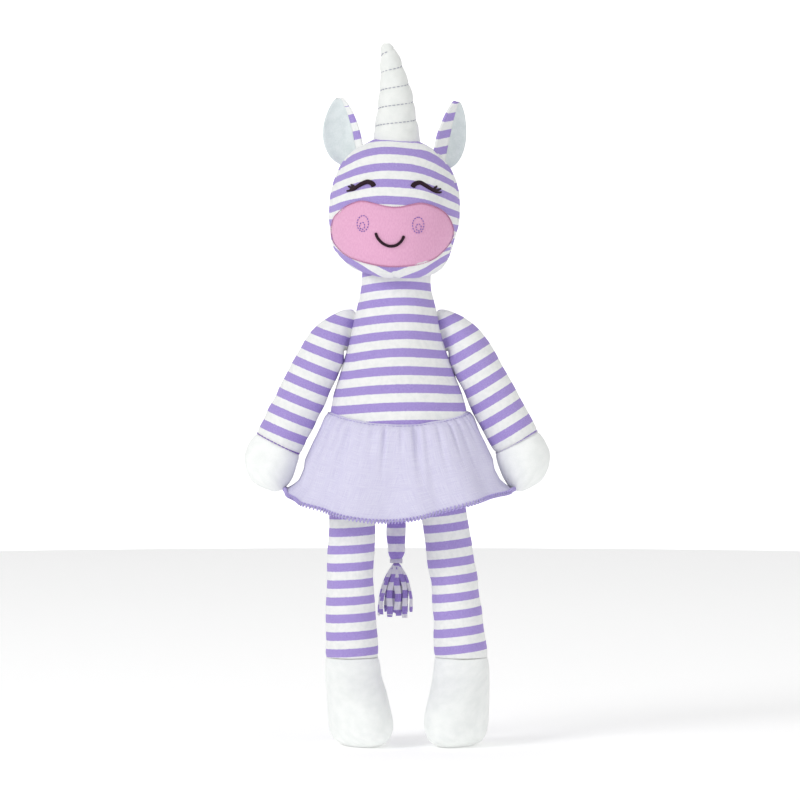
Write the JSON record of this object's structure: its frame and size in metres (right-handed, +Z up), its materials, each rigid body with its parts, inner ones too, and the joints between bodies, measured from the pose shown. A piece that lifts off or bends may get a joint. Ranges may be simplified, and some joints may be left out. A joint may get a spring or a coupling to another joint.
{
  "type": "plush unicorn doll",
  "caption": "Standing soft doll of a unicorn in striped jersey with a plush horn, white hands and feet, an embroidered face, a gathered skirt and a tasselled tail.",
  "frame": {"origin": "on the floor under the middle of the doll", "axes": "+Z up, the doll faces -Y, its left side is +X"},
  "size_m": [0.175, 0.0978, 0.4006],
  "materials": {
    "striped_jersey": "striped knit",
    "white_plush": "brushed",
    "ear_lining": "brushed",
    "pink_jersey": "smooth knit",
    "lavender_cotton": "plain weave",
    "dark_thread": "satin stitch",
    "purple_thread": "stitching",
    "grey_thread": "stitching",
    "fibrefill": "loose fibre",
    "tassel_jersey": "striped knit"
  },
  "bodies": {
    "torso": {"torso_front": "striped_jersey", "torso_back": "striped_jersey", "torso_stuffing": "fibrefill", "skirt": "lavender_cotton", "skirt_hem": "purple_thread", "skirt_gather": "purple_thread"},
    "neck": {"neck_cover": "striped_jersey", "neck_stuffing": "fibrefill"},
    "head": {"head_front": "striped_jersey", "head_back_left": "striped_jersey", "head_back_right": "striped_jersey", "head_stuffing": "fibrefill", "muzzle_patch": "pink_jersey", "eye_left": "dark_thread", "eye_right": "dark_thread", "nostril_left": "purple_thread", "nostril_right": "purple_thread", "mouth": "dark_thread", "horn_cover": "white_plush", "horn_stuffing": "fibrefill", "horn_thread": "grey_thread"},
    "ear_left": {"ear_left_outer": "striped_jersey", "ear_left_lining": "ear_lining"},
    "ear_right": {"ear_right_outer": "striped_jersey", "ear_right_lining": "ear_lining"},
    "arm_left_root": {"arm_left_tab": "white_plush"},
    "arm_left": {"arm_left_sleeve": "striped_jersey", "arm_left_hand": "white_plush", "arm_left_stuffing": "fibrefill", "arm_left_thread": "purple_thread"},
    "arm_right_root": {"arm_right_tab": "white_plush"},
    "arm_right": {"arm_right_sleeve": "striped_jersey", "arm_right_hand": "white_plush", "arm_right_stuffing": "fibrefill", "arm_right_thread": "purple_thread"},
    "leg_left_root": {"leg_left_tab": "white_plush"},
    "leg_left": {"leg_left_tube": "striped_jersey", "leg_left_foot": "white_plush", "leg_left_stuffing": "fibrefill"},
    "leg_right_root": {"leg_right_tab": "white_plush"},
    "leg_right": {"leg_right_tube": "striped_jersey", "leg_right_foot": "white_plush", "leg_right_stuffing": "fibrefill"},
    "tail": {"tail_tube": "striped_jersey", "tail_stuffing": "fibrefill", "tail_tie": "purple_thread"},
    "tassel": {"tail_tassel": "tassel_jersey"}
  },
  "joints": [
    {"name": "neck_nod", "type": "hinge", "parent": "torso", "child": "neck", "pos_m": [0.0004, 0, 0.262], "axis": [1, 0, 0], "range_deg": [-18, 18]},
    {"name": "head_turn", "type": "hinge", "parent": "neck", "child": "head", "pos_m": [0.0004, 0, 0.262], "axis": [0.0436, 0, 0.999], "range_deg": [-25, 25]},
    {"name": "ear_left_flop", "type": "hinge", "parent": "head", "child": "ear_left", "pos_m": [0.03236, 0.001, 0.33828], "axis": [0, 1, 0], "range_deg": [-6, 20], "stiffness_Nm_per_rad": 0.004},
    {"name": "ear_right_flop", "type": "hinge", "parent": "head", "child": "ear_right", "pos_m": [-0.03227, 0.001, 0.3391], "axis": [0, -1, 0], "range_deg": [-6, 20], "stiffness_Nm_per_rad": 0.004},
    {"name": "arm_left_swing", "type": "hinge", "parent": "torso", "child": "arm_left_root", "pos_m": [0.0368, 0, 0.234], "axis": [-1, 0, 0], "range_deg": [-40, 80]},
    {"name": "arm_left_raise", "type": "hinge", "parent": "arm_left_root", "child": "arm_left", "pos_m": [0.0368, 0, 0.234], "axis": [0, -1, 0], "range_deg": [0, 75]},
    {"name": "arm_right_swing", "type": "hinge", "parent": "torso", "child": "arm_right_root", "pos_m": [-0.0362, 0, 0.234], "axis": [-1, 0, 0], "range_deg": [-40, 80]},
    {"name": "arm_right_raise", "type": "hinge", "parent": "arm_right_root", "child": "arm_right", "pos_m": [-0.0362, 0, 0.234], "axis": [0, 1, 0], "range_deg": [0, 75]},
    {"name": "leg_left_swing", "type": "hinge", "parent": "torso", "child": "leg_left_root", "pos_m": [0.0268, 0, 0.1375], "axis": [-1, 0, 0], "range_deg": [-30, 95], "deforming": ["skirt", "skirt_hem", "skirt_gather"]},
    {"name": "leg_left_splay", "type": "hinge", "parent": "leg_left_root", "child": "leg_left", "pos_m": [0.0268, 0, 0.1375], "axis": [0, -1, 0], "range_deg": [-2, 22]},
    {"name": "leg_right_swing", "type": "hinge", "parent": "torso", "child": "leg_right_root", "pos_m": [-0.0242, 0, 0.1375], "axis": [-1, 0, 0], "range_deg": [-30, 95], "deforming": ["skirt", "skirt_hem", "skirt_gather"]},
    {"name": "leg_right_splay", "type": "hinge", "parent": "leg_right_root", "child": "leg_right", "pos_m": [-0.0242, 0, 0.1375], "axis": [0, 1, 0], "range_deg": [-2, 22]},
    {"name": "tail_swing", "type": "hinge", "parent": "torso", "child": "tail", "pos_m": [0.0004, 0.0273, 0.158], "axis": [1, 0, 0], "range_deg": [-5, 40]},
    {"name": "tassel_sway", "type": "hinge", "parent": "tail", "child": "tassel", "pos_m": [0.0004, 0.0273, 0.103], "axis": [0, 1, 0], "range_deg": [-15, 15]}
  ]
}
